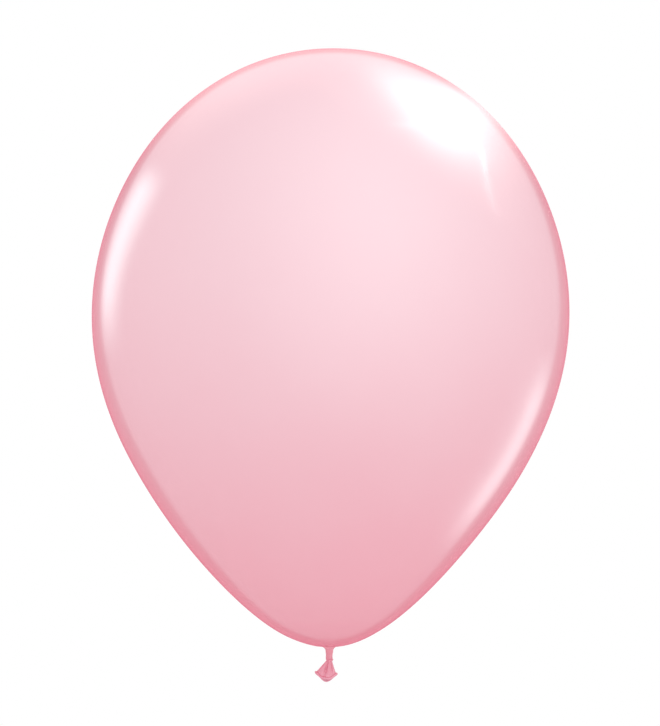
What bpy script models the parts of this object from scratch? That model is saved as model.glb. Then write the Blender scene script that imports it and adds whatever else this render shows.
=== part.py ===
"""Round latex balloon, 28 cm, inflated, with a gathered neck, a knot and a flared tail.

Metres, +Z up through the body. The origin is the middle of the neck stem, where a ribbon is tied.
"""

from math import acos, cos, hypot, pi, radians, sin

import bmesh
import bpy
from mathutils import Matrix, Vector

# Body: a teardrop, widest a little above half height.
BODY_RADIUS = 0.1392
BODY_HALF_HEIGHT = 0.1760
BODY_BOTTOM = 0.0029
BODY_SHAPE = (1.0, 0.162, -0.205, 0.080, 0.083)
CROWN_LEAN = 0.0024
SKIN_WALL = 0.00015
THROAT_WALL = 0.00040
WALL_TAPER_POWER = 8
THROAT_RADIUS = 0.0027
SLOPE_STEP = 1e-4
HALVINGS = 40
BODY_SEGMENTS = 44
BODY_ROWS = 26

# Hinges of the rubber neck, from the body down.
NECK_HINGE = 0.0015
KNOT_HINGE = -0.0027
TAIL_HINGE = -0.0070
GAP = 0.0003
BALL_STEPS = 5

# Neck stem: a pleated tube with a ball end in the throat.
STEM_RADIUS = 0.0022
STEM_BORE = 0.0009
STEM_BOTTOM = -0.0016
STEM_PLEATS = 8
STEM_PLEAT_DEPTH = 0.07
STEM_SEGMENTS = 32

# Knot: a core with two crossing wraps.
CORE_RADIUS = 0.0013
CORE_BELLY = 0.0019
WRAP_RADIUS = 0.0015
WRAP_THICKNESS = 0.00075
WRAP_TILT = radians(15)
WRAP_SIDES = 10
WRAP_SEGMENTS = 28
CORE_SEGMENTS = 24
KNOT_MIDDLE = -0.0047
KNOT_BOTTOM = -0.0059
FLEX_RADIUS = STEM_BOTTOM - KNOT_HINGE - GAP

# Tail: a flared, flattened tube whose mouth is leaned to one side.
TAIL_OFFSET = -0.0017
LIP_HALF_WIDTH = 0.0058
LIP_HALF_DEPTH = 0.0026
LIP_LEVEL = -0.0126
FRONT_DROP = 0.0021
BACK_DROP = 0.0046
CORNER_TILT = 0.0003
LIP_BEAD = 0.00075
SKIRT_WALL = 0.0005
SKIRT_TOP = -0.0076
SKIRT_TOP_RADIUS = 0.0013
FLARE_POWER = 0.75
SKIRT_SEGMENTS = 36
SKIRT_ROWS = 9
LIP_POINTS = 48

PINK_LATEX = (0.86, 0.47, 0.54, 1.0)
DEEP_PINK_LATEX = (0.78, 0.30, 0.37, 1.0)
LATEX_ROUGHNESS = 0.32
SHARP_ANGLE = radians(40)
SAME_POINT = 1e-7


def clear_scene():
    for obj in list(bpy.data.objects):
        bpy.data.objects.remove(obj, do_unlink=True)


def latex(name, color):
    material = bpy.data.materials.new(name)
    material.use_nodes = True
    shader = material.node_tree.nodes["Principled BSDF"]
    shader.inputs["Base Color"].default_value = color
    shader.inputs["Roughness"].default_value = LATEX_ROUGHNESS
    shader.inputs["Metallic"].default_value = 0.0
    material.diffuse_color = color
    return material


def add_object(name, data, material, origin=(0, 0, 0)):
    """The object, with its mesh given in world space and its origin put on a point of its own."""
    obj = bpy.data.objects.new(name, data)
    bpy.context.scene.collection.objects.link(obj)
    data.transform(Matrix.Translation(-Vector(origin)))
    obj.location = origin
    data.materials.append(material)
    return obj


def finish_mesh(name, bm):
    bmesh.ops.remove_doubles(bm, verts=bm.verts, dist=SAME_POINT)
    bmesh.ops.recalc_face_normals(bm, faces=bm.faces)
    mesh = bpy.data.meshes.new(name)
    bm.to_mesh(mesh)
    bm.free()
    mesh.shade_smooth()
    mesh.set_sharp_from_angle(angle=SHARP_ANGLE)
    return mesh


def turned(profile, segments, closed):
    """A bmesh turned about Z from (radius, height) points."""
    bm = bmesh.new()
    points = [bm.verts.new((radius, 0, height)) for radius, height in profile]
    edges = [bm.edges.new(pair) for pair in zip(points, points[1:])]
    if closed:
        edges.append(bm.edges.new((points[-1], points[0])))
    bmesh.ops.spin(
        bm,
        geom=points + edges,
        cent=(0, 0, 0),
        axis=(0, 0, 1),
        angle=2 * pi,
        steps=segments,
        use_merge=True,
    )
    return bm


def body_point(turn):
    """(radius, height) of the skin's outside, where turn runs from 0 at the crown to pi below."""
    level = cos(turn)
    swell = sum(factor * level**power for power, factor in enumerate(BODY_SHAPE))
    radius = BODY_RADIUS * sin(turn) * swell
    return radius, BODY_BOTTOM + BODY_HALF_HEIGHT * (1 + level)


def wall_at(turn):
    """The wall thickens only in the last part before the throat."""
    return SKIN_WALL + (THROAT_WALL - SKIN_WALL) * ((1 - cos(turn)) / 2) ** WALL_TAPER_POWER


def inner_point(turn):
    """The point one wall inside body_point, along the surface's normal."""
    above, below = body_point(turn - SLOPE_STEP), body_point(turn + SLOPE_STEP)
    run, rise = below[0] - above[0], below[1] - above[1]
    length = hypot(run, rise)
    radius, height = body_point(turn)
    wall = wall_at(turn)
    return radius + wall * rise / length, height - wall * run / length


def throat_turn():
    """The turn at which the bottom dome has narrowed to the throat, by halving."""
    low, high = pi / 2, pi
    for _ in range(HALVINGS):
        middle = (low + high) / 2
        if body_point(middle)[0] > THROAT_RADIUS:
            low = middle
        else:
            high = middle
    return low


def make_skin(material):
    last = throat_turn()
    turns = [last * row / BODY_ROWS for row in range(1, BODY_ROWS + 1)]
    crown = BODY_BOTTOM + 2 * BODY_HALF_HEIGHT
    outside = [(0.0, crown)] + [body_point(turn) for turn in turns]
    inside = [inner_point(turn) for turn in reversed(turns)] + [(0.0, crown - SKIN_WALL)]
    bm = turned(outside + inside, BODY_SEGMENTS, closed=False)
    for vert in bm.verts:
        vert.co.x += CROWN_LEAN * (max(vert.co.z, 0) / crown) ** 2
    return add_object("inflated_skin", finish_mesh("inflated_skin", bm), material)


def make_stem(material):
    """A tube whose top is a ball round the neck hinge, pleated along its length."""
    rim_angle = acos(STEM_BORE / STEM_RADIUS)
    ball = []
    for step in range(BALL_STEPS + 1):
        angle = rim_angle * (1 - step / BALL_STEPS)
        ball.append((STEM_RADIUS * cos(angle), NECK_HINGE + STEM_RADIUS * sin(angle)))
    profile = ball + [
        (STEM_RADIUS, STEM_BOTTOM + GAP),
        (STEM_RADIUS - GAP, STEM_BOTTOM),
        (STEM_BORE, STEM_BOTTOM),
    ]
    bm = turned(profile, STEM_SEGMENTS, closed=True)
    for vert in bm.verts:
        angle = Vector((vert.co.x, vert.co.y)).angle_signed(Vector((1, 0)), 0)
        fade = 1 - STEM_PLEAT_DEPTH * sin(STEM_PLEATS * angle / 2) ** 2
        vert.co.x *= fade
        vert.co.y *= fade
    mesh = finish_mesh("neck_stem", bm)
    return add_object("neck_stem", mesh, material, (0, 0, NECK_HINGE))


def ring(name, tilt):
    """One wrap of the knot: a torus tilted about Y, used only to join onto the core."""
    section = []
    for side in range(WRAP_SIDES):
        angle = 2 * pi * side / WRAP_SIDES
        offset = WRAP_THICKNESS * cos(angle)
        section.append((WRAP_RADIUS + offset, WRAP_THICKNESS * sin(angle)))
    bm = turned(section, WRAP_SEGMENTS, closed=True)
    bm.transform(Matrix.Translation((0, 0, KNOT_MIDDLE)) @ Matrix.Rotation(tilt, 4, "Y"))
    obj = bpy.data.objects.new(name, finish_mesh(name, bm))
    bpy.context.scene.collection.objects.link(obj)
    obj.hide_render = True
    obj.display_type = "WIRE"
    return obj


def flex_ball(hinge, radius):
    """(radius, height) points of the round top that turns about a hinge, from its pole down."""
    angles = [pi / 2 * step / BALL_STEPS for step in range(BALL_STEPS + 1)]
    return [(radius * sin(angle), hinge + radius * cos(angle)) for angle in angles]


def make_knot(material):
    shoulder = KNOT_HINGE - FLEX_RADIUS
    core = flex_ball(KNOT_HINGE, FLEX_RADIUS) + [
        (CORE_RADIUS, shoulder),
        (CORE_BELLY, KNOT_MIDDLE),
        (CORE_RADIUS, KNOT_BOTTOM),
        (0.0, KNOT_BOTTOM),
    ]
    mesh = finish_mesh("knot", turned(core, CORE_SEGMENTS, closed=False))
    obj = add_object("knot", mesh, material, (0, 0, KNOT_HINGE))
    for name, tilt in (("upper_wrap", WRAP_TILT), ("lower_wrap", -WRAP_TILT)):
        join = obj.modifiers.new(name, "BOOLEAN")
        join.operation = "UNION"
        join.solver = "EXACT"
        join.object = ring(name, tilt)
    return obj


def lip_point(angle):
    """The middle of the lip's bead. The front (-Y) sags a little, the back hangs in a tongue."""
    side, depth = cos(angle), sin(angle)
    drop = BACK_DROP * depth**3 if depth > 0 else FRONT_DROP * depth**2
    x = TAIL_OFFSET + LIP_HALF_WIDTH * side
    z = LIP_LEVEL - drop - CORNER_TILT * side
    return Vector((x, LIP_HALF_DEPTH * depth, z))


def skirt_point(angle, down, wall):
    """A point of the skirt, where down runs from 0 at the knot to 1 just above the lip."""
    top = SKIRT_TOP_RADIUS - wall / 2
    start = Vector((top * cos(angle), top * sin(angle), SKIRT_TOP - wall))
    end = lip_point(angle) + Vector((0, 0, LIP_BEAD + GAP))
    middle = Vector((TAIL_OFFSET, 0, end.z))
    inward = middle - end
    end += inward * (wall / inward.length)
    flare = down**FLARE_POWER
    point = start.lerp(end, down)
    point.x = start.x + (end.x - start.x) * flare
    point.y = start.y + (end.y - start.y) * flare
    return point


def loft(rings):
    """A bmesh of quads between rings of points, capped at the first and the last."""
    bm = bmesh.new()
    rows = [[bm.verts.new(point) for point in points] for points in rings]
    for upper, lower in zip(rows, rows[1:]):
        for this in range(len(upper)):
            after = (this + 1) % len(upper)
            bm.faces.new((upper[this], upper[after], lower[after], lower[this]))
    bm.faces.new(rows[0])
    bm.faces.new(list(reversed(rows[-1])))
    return bm


def make_skirt(material):
    angles = [2 * pi * index / SKIRT_SEGMENTS for index in range(SKIRT_SEGMENTS)]
    downs = [row / SKIRT_ROWS for row in range(SKIRT_ROWS + 1)]
    stalk = []
    for radius, height in flex_ball(TAIL_HINGE, FLEX_RADIUS)[1:]:
        stalk.append([(radius * cos(a), radius * sin(a), height) for a in angles])
    outside = [[skirt_point(a, down, 0) for a in angles] for down in downs]
    inside = [[skirt_point(a, down, SKIRT_WALL) for a in angles] for down in reversed(downs)]
    mesh = finish_mesh("tail_skirt", loft(stalk + outside + inside))
    return add_object("tail_skirt", mesh, material, (0, 0, TAIL_HINGE))


def make_lip(material):
    """The rolled bead: a round section swept along the lip."""
    curve = bpy.data.curves.new("rolled_lip", "CURVE")
    curve.dimensions = "3D"
    curve.bevel_depth = LIP_BEAD
    curve.bevel_resolution = 2
    spline = curve.splines.new("POLY")
    spline.points.add(LIP_POINTS - 1)
    for index, point in enumerate(spline.points):
        point.co = (*lip_point(2 * pi * index / LIP_POINTS), 1)
    spline.use_cyclic_u = True
    spline.use_smooth = True
    return add_object("rolled_lip", curve, material, (0, 0, TAIL_HINGE))


def main():
    clear_scene()
    stretched = latex("stretched_latex", PINK_LATEX)
    gathered = latex("gathered_latex", DEEP_PINK_LATEX)
    make_skin(stretched)
    stem = make_stem(gathered)
    knot = make_knot(gathered)
    skirt = make_skirt(gathered)
    lip = make_lip(gathered)
    bpy.context.view_layer.update()
    for child, parent in ((knot, stem), (skirt, knot), (lip, skirt)):
        child.parent = parent
        child.matrix_parent_inverse = parent.matrix_world.inverted()


main()
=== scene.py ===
"""Looks of the latex balloon: film, gathered neck, knot, fan and rolled lip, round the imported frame."""

from math import acos, cos, exp, hypot, pi, radians, sin, sqrt

import bpy
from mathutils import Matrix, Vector


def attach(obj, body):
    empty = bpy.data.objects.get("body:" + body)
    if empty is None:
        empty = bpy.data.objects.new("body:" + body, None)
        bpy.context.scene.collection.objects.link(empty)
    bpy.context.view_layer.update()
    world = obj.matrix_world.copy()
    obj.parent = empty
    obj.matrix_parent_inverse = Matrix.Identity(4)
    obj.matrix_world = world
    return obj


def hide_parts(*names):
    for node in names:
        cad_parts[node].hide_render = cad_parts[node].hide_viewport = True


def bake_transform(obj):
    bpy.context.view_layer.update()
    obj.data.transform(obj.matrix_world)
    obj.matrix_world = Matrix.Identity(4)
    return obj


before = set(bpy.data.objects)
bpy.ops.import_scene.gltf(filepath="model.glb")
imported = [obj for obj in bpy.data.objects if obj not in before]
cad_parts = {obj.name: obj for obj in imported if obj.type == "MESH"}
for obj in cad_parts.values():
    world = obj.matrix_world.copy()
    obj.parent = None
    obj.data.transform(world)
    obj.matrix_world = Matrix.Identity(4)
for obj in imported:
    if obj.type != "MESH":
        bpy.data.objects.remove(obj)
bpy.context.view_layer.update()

MM = 0.001

# The envelope's design: the CAD source's, but up to 1.1 mm slimmer near the crown and up to 0.4 mm
# fuller near the bottom.
BODY_RADIUS = 0.1392
BODY_HALF_HEIGHT = 0.1760
BODY_BOTTOM = 0.0029
BODY_SHAPE = (1.0, 0.156, -0.201, 0.112, 0.069, -0.051)
CROWN_LEAN = 0.0024
LOW_LEAN = 0.0008
CROWN = BODY_BOTTOM + 2 * BODY_HALF_HEIGHT

STEM_RADIUS = 2.15 * MM
STEM_SEAM = -0.3 * MM
FILLET = 2.8 * MM


# ---------------------------------------------------------------- mesh helpers


def mesh_object(name, points, faces, material):
    mesh = bpy.data.meshes.new(name)
    mesh.from_pydata(points, [], faces)
    mesh.validate()
    mesh.shade_smooth()
    mesh.materials.append(material)
    obj = bpy.data.objects.new(name, mesh)
    bpy.context.scene.collection.objects.link(obj)
    return obj


def lofted(name, rings, material, closed=False):
    """A skin over rings of points, from the top down.

    Its ends are closed with a fan of triangles, unless it runs round.
    """
    around = len(rings[0])
    points = [point for ring in rings for point in ring]
    faces = []
    last = len(rings) if closed else len(rings) - 1
    for row in range(last):
        here, below = row * around, (row + 1) % len(rings) * around
        for this in range(around):
            after = (this + 1) % around
            faces.append((here + this, below + this, below + after, here + after))
    if not closed:
        for start, turn in ((0, 1), (len(points) - around, -1)):
            middle = len(points)
            ring = points[start : start + around]
            points.append(sum((Vector(point) for point in ring), Vector()) / around)
            for this in range(around):
                after = (this + 1) % around
                faces.append((middle, start + this, start + after)[::turn])
    return mesh_object(name, points, faces, material)


def wave(angle, terms):
    """A sum of cosines round the neck: (count, height, shift) each."""
    return sum(height * cos(count * angle + shift) for count, height, shift in terms)


def smooth(low, high, value):
    share = min(max((value - low) / (high - low), 0.0), 1.0)
    return share * share * (3 - 2 * share)


# ------------------------------------------------------------------- materials


def node(tree, kind, **settings):
    made = tree.nodes.new(kind)
    for name, value in settings.items():
        setattr(made, name, value)
    return made


GLOSS_IOR = 1.45
RIM_TINT = (0.99, 0.93, 0.94)
MOTTLE = (0.94, 1.06)
ROUGHNESS = (0.13, 0.18)
# The film's colour by height: deeper towards the bottom, partly the less-stretched film's own deeper
# colour and partly painted shade.
FILM_COLORS = (
    (-0.001, (0.92, 0.37, 0.45)),
    (0.006, (0.94, 0.455, 0.53)),
    (0.020, (0.965, 0.475, 0.55)),
    (0.113, (0.97, 0.60, 0.66)),
    (0.207, (0.97, 0.69, 0.74)),
    (0.330, (0.96, 0.73, 0.77)),
)
NECK_COLORS = ((-0.018, (0.88, 0.41, 0.51)), (-0.006, (0.86, 0.34, 0.43)), (-0.001, (0.90, 0.37, 0.45)))


def latex(name, stops):
    """Pigmented rubber film, coloured by height: on the body deeper towards the bottom, partly its own
    deeper colour where it is less stretched and partly painted shade; deeper at its edges, softly glossy.

    stops are (height, colour) pairs from the bottom up.
    """
    material = bpy.data.materials.new(name)
    material.use_nodes = True
    tree = material.node_tree
    link = tree.links.new
    shader = tree.nodes["Principled BSDF"]
    shader.inputs["IOR"].default_value = GLOSS_IOR
    shader.inputs["Coat Weight"].default_value = 1.0
    shader.inputs["Coat IOR"].default_value = 1.03
    shader.inputs["Coat Roughness"].default_value = 0.2
    shader.inputs["Coat Tint"].default_value = (*RIM_TINT, 1)

    where = node(tree, "ShaderNodeTexCoord")

    def noise(scale, detail):
        made = node(tree, "ShaderNodeTexNoise")
        made.inputs["Scale"].default_value = scale
        made.inputs["Detail"].default_value = detail
        link(where.outputs["Object"], made.inputs["Vector"])
        return made.outputs["Fac"]

    def between(value, low, high):
        made = node(tree, "ShaderNodeMapRange")
        made.inputs["To Min"].default_value = low
        made.inputs["To Max"].default_value = high
        link(value, made.inputs["Value"])
        return made.outputs["Result"]

    split = node(tree, "ShaderNodeSeparateXYZ")
    link(where.outputs["Object"], split.inputs[0])
    # Height share for the colour ramp, whose stops hold painted shade as well as the film's own colour.
    stretch_and_shade = node(tree, "ShaderNodeMapRange")
    low, high = stops[0][0], stops[-1][0]
    stretch_and_shade.inputs["From Min"].default_value = low
    stretch_and_shade.inputs["From Max"].default_value = high
    link(split.outputs["Z"], stretch_and_shade.inputs["Value"])
    ramp = node(tree, "ShaderNodeValToRGB")
    ramp.color_ramp.interpolation = "B_SPLINE"
    ramp.color_ramp.elements[0].color = (*stops[0][1], 1)
    ramp.color_ramp.elements[1].color = (*stops[-1][1], 1)
    for level, color in stops[1:-1]:
        ramp.color_ramp.elements.new((level - low) / (high - low)).color = (*color, 1)
    link(stretch_and_shade.outputs["Result"], ramp.inputs["Fac"])

    tint = node(tree, "ShaderNodeHueSaturation")
    link(between(noise(14, 4), *MOTTLE), tint.inputs["Saturation"])
    link(ramp.outputs["Color"], tint.inputs["Color"])
    link(tint.outputs["Color"], shader.inputs["Base Color"])

    link(between(noise(60, 5), *ROUGHNESS), shader.inputs["Roughness"])

    bump = node(tree, "ShaderNodeBump")
    bump.inputs["Strength"].default_value = 0.03
    bump.inputs["Distance"].default_value = 0.0002
    link(noise(900, 3), bump.inputs["Height"])
    link(bump.outputs["Normal"], shader.inputs["Normal"])
    return material


film_latex = latex("film_latex", FILM_COLORS)
neck_latex = latex("neck_latex", NECK_COLORS)


# ------------------------------------------------------------------- the film

FILM_AROUND = 192
FILM_DOWN = 170
FILM_CROWDING = 1.25  # above 1, rows crowd towards the bottom
FILLET_ROWS = 10
FOOT_ROWS = 8
PLEATS = ((9, 0.50, 0.4), (14, 0.36, 1.9), (23, 0.22, 0.7), (5, 0.22, 2.6))
FILM_PLEAT = 0.16 * MM
STEM_PLEAT = 0.14 * MM


def body_point(turn):
    """(radius, height) of the envelope, where turn runs from 0 at the crown to pi below."""
    level = cos(turn)
    swell = sum(factor * level**power for power, factor in enumerate(BODY_SHAPE))
    return BODY_RADIUS * sin(turn) * swell, BODY_BOTTOM + BODY_HALF_HEIGHT * (1 + level)


def lean(height):
    """How far to the right of the neck the envelope's middle is at a height."""
    sag = smooth(0, 12 * MM, height) * (1 - smooth(50 * MM, 110 * MM, height))
    return CROWN_LEAN * (max(height, 0) / CROWN) ** 2 - LOW_LEAN * sag


def turn_at(radius):
    """The turn at which the bottom dome has narrowed to a radius."""
    low, high = pi / 2, pi
    for _ in range(40):
        middle = (low + high) / 2
        if body_point(middle)[0] > radius:
            low = middle
        else:
            high = middle
    return low


def film_profile():
    """(radius, height) from the crown down the body, round the fillet and down the stem."""
    foot = STEM_RADIUS + FILLET
    last = turn_at(foot)
    profile = []
    for row in range(1, FILM_DOWN + 1):
        share = row / FILM_DOWN
        profile.append(body_point(last * (1 - (1 - share) ** FILM_CROWDING)))
    level = profile[-1][1] - FILLET
    for step in range(1, FILLET_ROWS + 1):
        angle = pi / 2 * step / FILLET_ROWS
        profile.append((foot - FILLET * sin(angle), level + FILLET * cos(angle)))
    for step in range(1, FOOT_ROWS + 1):
        profile.append((STEM_RADIUS, level + (STEM_SEAM - level) * step / FOOT_ROWS))
    return profile


def pleat_height(radius, height):
    """Gathers start on the stem, are deepest where the dome begins and fade out over the dome."""
    if height < BODY_BOTTOM - FILLET:
        return STEM_PLEAT
    return STEM_PLEAT + (FILM_PLEAT - STEM_PLEAT) * smooth(2.5 * MM, 6 * MM, radius)


def film_ring(radius, height):
    """One ring of the film. The pleats push outwards on the stem, and up and down on the dome."""
    fade = 1 - smooth(5 * MM, 30 * MM, radius)
    if height > CROWN / 2:
        fade = 0
    ring = []
    for step in range(FILM_AROUND):
        angle = 2 * pi * step / FILM_AROUND
        lift = pleat_height(radius, height) * fade * wave(angle, PLEATS)
        rise = lift * smooth(2.5 * MM, 8 * MM, radius)
        out = radius + lift * (1 - smooth(3 * MM, 9 * MM, radius))
        ring.append(Vector((out * cos(angle) + lean(height), out * sin(angle), height - rise)))
    return ring


def make_film():
    rings = [film_ring(*point) for point in film_profile()]
    film = lofted("balloon_film", rings, film_latex)
    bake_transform(film)
    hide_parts("inflated_skin")


# ------------------------------------------------------------ neck below the film

NECK_AROUND = 96
STEM_ROWS = 40
STEM_TOP = 0.4 * MM
STEM_FOOT = -4.7 * MM
STEM_TWIST = 0.5
KNOT_LEVEL = -4.55
KNOT_REACH = 1.35
KNOT_TUBE = 0.72 * MM


def make_stem():
    """The gathered neck from inside the film's foot down into the knot."""
    rings = []
    for row in range(STEM_ROWS + 1):
        share = row / STEM_ROWS
        height = STEM_TOP + (STEM_FOOT - STEM_TOP) * share
        waist = STEM_RADIUS - 0.03 * MM - 0.25 * MM * sin(pi * share) ** 2
        waist -= 0.9 * MM * smooth(-3.2 * MM, STEM_FOOT, height)
        twist = STEM_TWIST * share
        ring = []
        for step in range(NECK_AROUND):
            angle = 2 * pi * step / NECK_AROUND
            radius = waist + STEM_PLEAT * wave(angle + twist, PLEATS)
            ring.append(Vector((radius * cos(angle), radius * sin(angle), height)))
        rings.append(ring)
    stem = lofted("gathered_neck", rings, neck_latex)
    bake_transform(stem)
    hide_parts("neck_stem")


def tube(name, path, section, around, material):
    """A closed tube along a closed path. section(share, angle) is its radius."""
    count = len(path)
    rings = []
    for index, point in enumerate(path):
        ahead = (path[(index + 1) % count] - path[index - 1]).normalized()
        side = ahead.cross(Vector((0, 0, 1))).normalized()
        up = side.cross(ahead)
        ring = []
        for step in range(around):
            angle = 2 * pi * step / around
            radius = section(index / count, angle)
            ring.append(point + side * radius * cos(angle) + up * radius * sin(angle))
        rings.append(ring)
    return lofted(name, rings, material, closed=True)


def make_knot():
    """Two turns of the neck wrapped round itself, one riding over the other."""
    path = []
    steps = 160
    for step in range(steps):
        share = 2 * pi * step / steps
        angle = 2 * share + 0.6
        reach = (KNOT_REACH + 0.18 * cos(share)) * MM
        height = (KNOT_LEVEL + 0.62 * sin(share) + 0.22 * cos(angle)) * MM
        path.append(Vector((reach * cos(angle), reach * sin(angle), height)))

    def section(share, angle):
        crease = 0.035 * cos(5 * angle + 6 * pi * share) + 0.03 * cos(9 * angle)
        return KNOT_TUBE * (1 + crease + 0.06 * cos(6 * pi * share))

    knot = tube("knot_wraps", path, section, 28, neck_latex)
    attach(knot, "knot")
    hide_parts("knot")


# ------------------------------------------------------------------- the tail

LIP_MIDDLE = -1.9 * MM
LIP_HALF_WIDTH = 6.0 * MM
LIP_HALF_DEPTH = 2.3 * MM
LIP_LEVEL = -12.4 * MM
LIP_BEAD = 0.72 * MM
FAN_TOP = STEM_FOOT
FAN_WALL = 0.3 * MM
FAN_LINING_FROM = 6
FOLDS = ((3, 0.40, 0.9), (5, 0.42, 2.1), (8, 0.20, 0.3), (13, 0.08, 1.2))


def lip_point(angle):
    """The middle of the bead. The front (-Y) sags, the back hangs in a tongue, and both ripple."""
    side, depth = cos(angle), sin(angle)
    drop = 3.2 * MM * depth**2
    if depth > 0:
        drop += 1.4 * MM * depth**8
    ripple = 0.22 * MM * wave(angle, FOLDS)
    x = LIP_MIDDLE + LIP_HALF_WIDTH * side
    y = LIP_HALF_DEPTH * depth + 0.35 * MM * wave(angle + 0.5, FOLDS)
    return Vector((x, y, LIP_LEVEL - drop - 0.5 * MM * side + ripple))


def front_folds(side):
    """How far the front of the fan is pressed in: a deep groove, a ridge, and a crease on the right."""
    groove = 1.7 * MM * exp(-(((side + 0.26) / 0.19) ** 2))
    ridge = -0.5 * MM * exp(-(((side - 0.25) / 0.16) ** 2))
    crease = 0.9 * MM * exp(-(((side - 0.66) / 0.11) ** 2))
    return groove + ridge + crease


def fan_point(angle, down, wall):
    """A point of the fan, from down 0 inside the knot to 1 inside the bead."""
    start = Vector((1.6 * MM * cos(angle), 1.3 * MM * sin(angle), FAN_TOP))
    end = lip_point(angle)
    spread = down ** (1.16 + 0.12 * cos(angle))
    depth = down**0.8
    x = start.x + (end.x - start.x) * spread
    y = start.y + (end.y - start.y) * depth
    fold = 0.55 * MM * sin(pi * down) ** 0.7 * wave(angle + 0.25 * down, FOLDS)
    y += fold * (1 if sin(angle) > 0 else -1) * abs(sin(angle)) ** 0.5
    y += front_folds(cos(angle)) * max(-sin(angle), 0) * sin(pi * down**1.2)
    z = start.z + (end.z - start.z) * down
    return Vector((x - wall * cos(angle), y - wall * sin(angle), z))


def make_fan():
    """The open end of the neck, a thin folded film flattened front to back."""
    around, rows = 120, 36
    angles = [2 * pi * step / around for step in range(around)]
    downs = [row / rows for row in range(rows + 1)]
    rings = [[fan_point(angle, down, 0) for angle in angles] for down in downs]
    lining = reversed(downs[FAN_LINING_FROM:])
    rings += [[fan_point(angle, down, FAN_WALL) for angle in angles] for down in lining]
    fan = lofted("neck_fan", rings, neck_latex)
    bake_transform(fan)
    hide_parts("tail_skirt")


def make_lip():
    """The bead: film rolled on itself, with the roll's edge as a fine groove along it."""
    steps = 200
    path = [lip_point(2 * pi * step / steps) for step in range(steps)]

    def section(share, angle):
        roll = 0.05 * cos(2 * angle + 4 * pi * share) + 0.03 * cos(7 * angle)
        return LIP_BEAD * (1 + roll + 0.05 * cos(2 * pi * share * 7))

    lip = tube("lip_bead", path, section, 24, neck_latex)
    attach(lip, "tail")
    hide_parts("rolled_lip")


make_film()
make_stem()
make_knot()
make_fan()
make_lip()


# --------------------------------------------------------------- floor and light

CAMERA_AWAY = 5.0
VIEW_HEIGHT = 0.4269
VIEW_MIDDLE = Vector((0.0004, 0, 0.1699))
FLOOR_LEVEL = -0.12
FLOOR_RADIUS = 1.0
FLOOR_CORNERS = 96

SKY = (0.98, 0.98, 1.0)
GROUND = (0.90, 0.90, 0.90)
SIDE_WALL = (0.83, 0.83, 0.84)
ROOM = (0.85, 0.75, 0.78)
BACKDROP_MIDDLE = (0.82, 0.27, 0.36)
BACKDROP_BORDER = (0.52, 0.0, 0.06)
BACKDROP_REACH = 36
BACKDROP_BLUR = 1.5
BACKDROP_TILT = radians(10)
WALL_WHITE_WITHIN = 7
WALL_GREY_BEYOND = 20

KEY_LIGHT = (1, 1, 0.9)
SIDE_LIGHT = (0.6, 1, 0.95)
FRONT_LIGHT = (0.7, 1, 0.95)
KEY_SHINE = 0.70
KEY_SOFT = 1.8
KEY_MIDDLE = (66.5 * MM, 311.5 * MM)
KEY_HALF_LENGTH = 46 * MM
KEY_HALF_WIDTH = 19 * MM
KEY_SLOPE = radians(-36)
SHOULDER_SHINE = 1.1
LEVEL_SHINE = 0.6
LEFT_SHINE = 0.45
RIGHT_SHINE = 0.27
RIGHT_HALO = 0.09
TOP_SHINE = 0.26
FRONT_SHINE = 0.105
FRONT_MIDDLE = (30 * MM, 259 * MM)
FRONT_HALF_WIDTH = 110 * MM
FRONT_BELOW = 160 * MM
FRONT_ABOVE = 91 * MM


def make_floor():
    """A round, pale studio floor a little way below the tail."""
    material = bpy.data.materials.new("pale_floor")
    material.use_nodes = True
    shader = material.node_tree.nodes["Principled BSDF"]
    shader.inputs["Base Color"].default_value = (0.86, 0.86, 0.86, 1)
    shader.inputs["Roughness"].default_value = 0.9
    turns = [2 * pi * step / FLOOR_CORNERS for step in range(FLOOR_CORNERS)]
    edge = [(FLOOR_RADIUS * cos(turn), FLOOR_RADIUS * sin(turn), FLOOR_LEVEL) for turn in turns]
    floor = mesh_object("floor", edge, [tuple(range(FLOOR_CORNERS))], material)
    floor.visible_glossy = False


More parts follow.
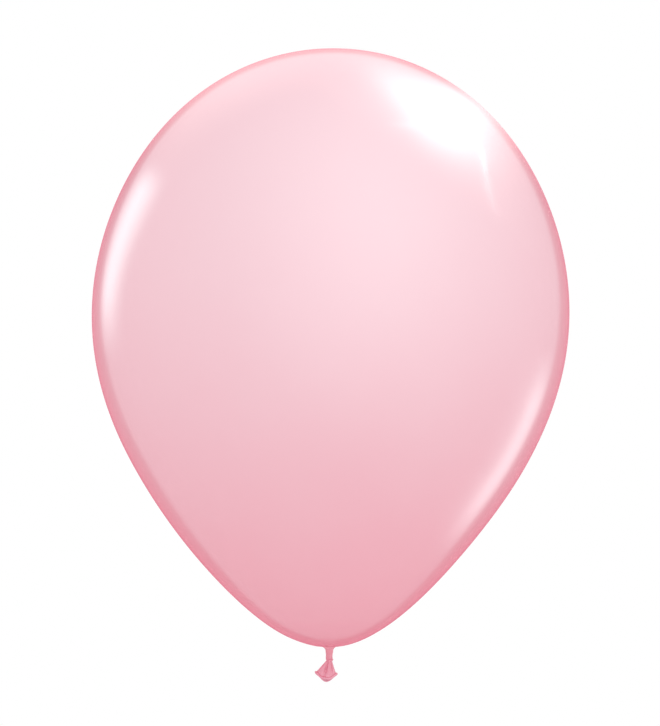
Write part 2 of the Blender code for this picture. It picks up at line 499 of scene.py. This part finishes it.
def make_world():
    """An even white surround, a little less from below, that is seen and mirrored differently.

    Gloss mirrors it as a pale room with a round pink backdrop behind the balloon, deepest at its border,
    which edges the film. Seen straight on, the wall behind the balloon is white, and to the sides it is
    pale grey.
    """
    world = bpy.data.worlds.new("studio")
    bpy.context.scene.world = world
    world.use_nodes = True
    tree = world.node_tree
    tree.nodes.clear()
    link = tree.links.new
    where = node(tree, "ShaderNodeTexCoord")

    def round_patch(middle, stops):
        """Colour by how many degrees away from middle. Each stop is (degrees, colour), furthest first."""
        facing = node(tree, "ShaderNodeVectorMath", operation="DOT_PRODUCT")
        facing.inputs[1].default_value = middle
        link(where.outputs["Generated"], facing.inputs[0])
        ramp = node(tree, "ShaderNodeValToRGB")
        marks = ramp.color_ramp.elements
        for mark, (away, color) in zip(marks, stops[:2]):
            mark.position = cos(radians(away))
            mark.color = (*color, 1)
        for away, color in stops[2:]:
            marks.new(cos(radians(away))).color = (*color, 1)
        link(facing.outputs["Value"], ramp.inputs["Fac"])
        return ramp.outputs["Color"]

    def mixed(share, first, second):
        made = node(tree, "ShaderNodeMixRGB")
        link(share, made.inputs["Fac"])
        link(first, made.inputs["Color1"])
        link(second, made.inputs["Color2"])
        return made.outputs["Color"]

    split = node(tree, "ShaderNodeSeparateXYZ")
    link(where.outputs["Generated"], split.inputs[0])
    height = node(tree, "ShaderNodeMapRange")
    height.inputs["From Min"].default_value = -1
    link(split.outputs["Z"], height.inputs["Value"])
    surround = node(tree, "ShaderNodeMixRGB")
    surround.inputs["Color1"].default_value = (*GROUND, 1)
    surround.inputs["Color2"].default_value = (*SKY, 1)
    link(height.outputs["Result"], surround.inputs["Fac"])

    backdrop = (
        (BACKDROP_REACH + BACKDROP_BLUR, ROOM),
        (BACKDROP_REACH - BACKDROP_BLUR, BACKDROP_BORDER),
        (BACKDROP_REACH / 2, BACKDROP_MIDDLE),
    )
    mirrored = round_patch((0, cos(BACKDROP_TILT), -sin(BACKDROP_TILT)), backdrop)
    wall = round_patch((0, 1, 0), ((WALL_GREY_BEYOND, SIDE_WALL), (WALL_WHITE_WITHIN, (1, 1, 1))))

    path = node(tree, "ShaderNodeLightPath")
    lit = mixed(path.outputs["Is Glossy Ray"], surround.outputs["Color"], mirrored)
    seen = mixed(path.outputs["Is Camera Ray"], lit, wall)
    light = node(tree, "ShaderNodeBackground")
    link(seen, light.inputs["Color"])
    out = node(tree, "ShaderNodeOutputWorld")
    link(light.outputs[0], out.inputs["Surface"])


def profile_normal(turn):
    """(outward, upward) parts of the envelope's normal at a turn from the crown."""
    step = 1e-4
    above, below = body_point(turn - step), body_point(turn + step)
    run, rise = below[0] - above[0], below[1] - above[1]
    length = hypot(run, rise)
    return -rise / length, run / length


def front_of_body(x, z):
    """(point, outward normal) where the envelope's front stands at this x and z."""
    level = max(min((z - BODY_BOTTOM) / BODY_HALF_HEIGHT - 1, 0.9995), -0.9995)
    turn = acos(level)
    radius, height = body_point(turn)
    out, up = profile_normal(turn)
    share = max(min((x - lean(z)) / radius, 0.9999), -0.9999)
    around = Vector((share, -sqrt(1 - share * share), 0))
    point = around * radius + Vector((lean(z), 0, height))
    return point, around * out + Vector((0, 0, up))


def inside_edge(degrees_down, inset):
    """(x, z) of the spot this far inside the front view's edge. Turns on the left are negative."""
    turn = radians(abs(degrees_down))
    side = 1 if degrees_down > 0 else -1
    radius, height = body_point(turn)
    out, up = profile_normal(turn)
    return lean(height) + side * (radius - out * inset), height - up * inset


def glowing(name, color):
    """Light added by a clear panel, as strong as the mesh's own glow attribute says."""
    material = bpy.data.materials.new(name)
    material.use_nodes = True
    tree = material.node_tree
    tree.nodes.clear()
    glow = node(tree, "ShaderNodeAttribute", attribute_name="glow")
    light = node(tree, "ShaderNodeEmission")
    light.inputs["Color"].default_value = (*color, 1)
    clear = node(tree, "ShaderNodeBsdfTransparent")
    both = node(tree, "ShaderNodeAddShader")
    out = node(tree, "ShaderNodeOutputMaterial")
    tree.links.new(glow.outputs["Fac"], light.inputs["Strength"])
    tree.links.new(light.outputs[0], both.inputs[0])
    tree.links.new(clear.outputs[0], both.inputs[1])
    tree.links.new(both.outputs[0], out.inputs["Surface"])
    return material


def reflectance(facing):
    """Share of light the film's gloss mirrors, where facing is the cosine to the camera."""
    bent = sqrt(1 - (1 - facing * facing) / GLOSS_IOR**2)
    across = (facing - GLOSS_IOR * bent) / (facing + GLOSS_IOR * bent)
    along = (GLOSS_IOR * facing - bent) / (GLOSS_IOR * facing + bent)
    return (across * across + along * along) / 2


def softbox(name, spot, shine, away, along=40, across=24, color=KEY_LIGHT):
    """A lit panel, shaped so that the body mirrors it where spot says to a camera at the photo's place.

    spot(s, t) is (x, z) on the body's front and shine(s, t) the light it should add to the film there,
    both for s and t from 0 to 1.
    """
    points, faces, light = [], [], []
    for i in range(along + 1):
        for j in range(across + 1):
            s, t = i / along, j / across
            point, normal = front_of_body(*spot(s, t))
            to_camera = (camera.location - point).normalized()
            facing = max(normal.dot(to_camera), 0.01)
            points.append(point + (2 * facing * normal - to_camera) * away)
            light.append(shine(s, t) / reflectance(facing))
    for i in range(along):
        for j in range(across):
            corner = i * (across + 1) + j
            faces.append((corner, corner + 1, corner + across + 2, corner + across + 1))
    panel = mesh_object(name, points, faces, glowing(name, color))
    panel.data.attributes.new("glow", "FLOAT", "POINT").data.foreach_set("value", light)
    panel.visible_camera = False
    panel.visible_diffuse = False
    panel.visible_shadow = False


def hump(share, rise, fall):
    """0 at both ends of 0 to 1, up over the first part and down over the last."""
    return smooth(0, rise, share) * smooth(0, fall, 1 - share)


def slanted(middle, half_length, half_width, slope):
    """spot() for a box of this size round (x, z), turned by slope."""

    def spot(s, t):
        a, b = (2 * s - 1) * half_length, (2 * t - 1) * half_width
        return middle[0] + a * cos(slope) - b * sin(slope), middle[1] + a * sin(slope) + b * cos(slope)

    return spot


def make_key_softbox():
    """The large box up and to the right: a soft oval across the shoulder, brightest in its middle."""

    def shine(s, t):
        a, b = KEY_SOFT * (2 * s - 1), KEY_SOFT * (2 * t - 1)
        lengthwise = 1.22 if a > 0 else 0.93
        crosswise = 0.70 - 0.52 * a if b > 0 else 1 - 0.5 * min(a, 0)
        reach = hypot(a * lengthwise, b * crosswise)
        fade = smooth(0, 0.9, KEY_SOFT - max(abs(a), abs(b)))
        edge = 0.2 * smooth(0.5, 1.0, b) * exp(-(((a - 0.25) / 0.45) ** 2))
        return (KEY_SHINE * exp(-1.6 * reach * reach) + edge + 0.04) * fade

    spot = slanted(KEY_MIDDLE, KEY_HALF_LENGTH * KEY_SOFT, KEY_HALF_WIDTH * KEY_SOFT, KEY_SLOPE)
    softbox("key_softbox", spot, shine, 1.5, 60, 40)


def make_glints():
    """Two thin streaks off the key box: one down the shoulder, one level to its left."""

    def down(s, t):
        return (89 + 9 * s * s + 1.2 * (2 * t - 1)) * MM, (297 - 46 * s) * MM

    def level(s, t):
        return (28 + 30 * s) * MM, (307 + 0.8 * (2 * t - 1)) * MM

    def down_shine(s, t):
        return SHOULDER_SHINE * (1 - s) * hump(t, 0.5, 0.5) * smooth(0, 0.2, s)

    def level_shine(s, t):
        return LEVEL_SHINE * hump(s, 0.6, 0.2) * hump(t, 0.5, 0.5)

    softbox("shoulder_glint", down, down_shine, 1.5)
    softbox("level_glint", level, level_shine, 1.5)


def make_left_softbox():
    """A tall narrow box on the left: a crescent just inside the edge, broad at its top."""

    def spot(s, t):
        wide = 16.5 + 5 * (1 - smooth(0.2, 0.7, s))
        return inside_edge(-49 - 45 * s, (4.2 + wide * t) * MM)

    def shine(s, t):
        return LEFT_SHINE * hump(s, 0.17, 0.4) * hump(t, 0.36, 0.64)

    softbox("left_softbox", spot, shine, 1.2, color=SIDE_LIGHT)


def make_right_softbox():
    """A tall narrow box low on the right: a long thin crescent under the widest part."""

    def spot(s, t):
        return inside_edge(90 + 48 * s, (6.5 + 23 * t) * MM)

    def shine(s, t):
        band = smooth(0, 0.22, t) * exp(-((max(t - 0.22, 0) / 0.21) ** 2))
        return hump(s, 0.3, 0.35) * (RIGHT_SHINE * band + RIGHT_HALO * hump(t, 0.3, 0.7))

    softbox("right_softbox", spot, shine, 0.8, color=SIDE_LIGHT)


def make_top_softbox():
    """A wide box above and behind, which keeps the edge of the crown pale."""

    def spot(s, t):
        return inside_edge(-57.99 + 84 * s, 30 * MM * t)

    def shine(s, t):
        return TOP_SHINE * hump(s, 0.45, 0.3) * smooth(0, 0.05, t) * (1 - t) ** 1.5

    softbox("top_softbox", spot, shine, 2.0)


def make_front_softbox():
    """A very large dim box in front, up and to the right: a broad pale round on the front of the body."""
    middle_x, middle_z = FRONT_MIDDLE

    def spot(s, t):
        x = middle_x + FRONT_HALF_WIDTH * (2 * s - 1)
        return x, middle_z - FRONT_BELOW + (FRONT_BELOW + FRONT_ABOVE) * t

    def shine(s, t):
        x, z = spot(s, t)
        reach = hypot((x - middle_x) / FRONT_HALF_WIDTH, (z - middle_z) / FRONT_BELOW)
        return FRONT_SHINE * smooth(0, 1, 1 - reach) * smooth(0, 0.12, 1 - t)

    softbox("front_softbox", spot, shine, 2.0, 40, 40, FRONT_LIGHT)


def make_camera():
    """Level with the middle of the photo, at its viewing angle, with a square-on long lens."""
    data = bpy.data.cameras.new("camera")
    data.sensor_width = 36
    data.lens = data.sensor_width * CAMERA_AWAY / VIEW_HEIGHT
    made = bpy.data.objects.new("camera", data)
    bpy.context.scene.collection.objects.link(made)
    made.location = VIEW_MIDDLE + Vector((0, -CAMERA_AWAY, 0))
    made.rotation_euler = (pi / 2, 0, 0)
    bpy.context.scene.camera = made
    bpy.context.view_layer.update()
    return made


def make_fill():
    """A big soft lamp from above right in front, for the body's gentle shading only."""
    data = bpy.data.lights.new("fill", "AREA")
    data.shape = "DISK"
    data.size = 1.5
    data.energy = 2.5
    lamp = bpy.data.objects.new("fill", data)
    bpy.context.scene.collection.objects.link(lamp)
    lamp.location = (0.8, -2.0, 1.4)
    lamp.rotation_euler = (Vector((0, 0, 0.18)) - lamp.location).to_track_quat("-Z", "Y").to_euler()
    lamp.visible_camera = False
    lamp.visible_glossy = False


bpy.context.scene.view_settings.view_transform = "Standard"
camera = make_camera()
make_floor()
make_world()
make_fill()
make_key_softbox()
make_glints()
make_left_softbox()
make_right_softbox()
make_top_softbox()
make_front_softbox()
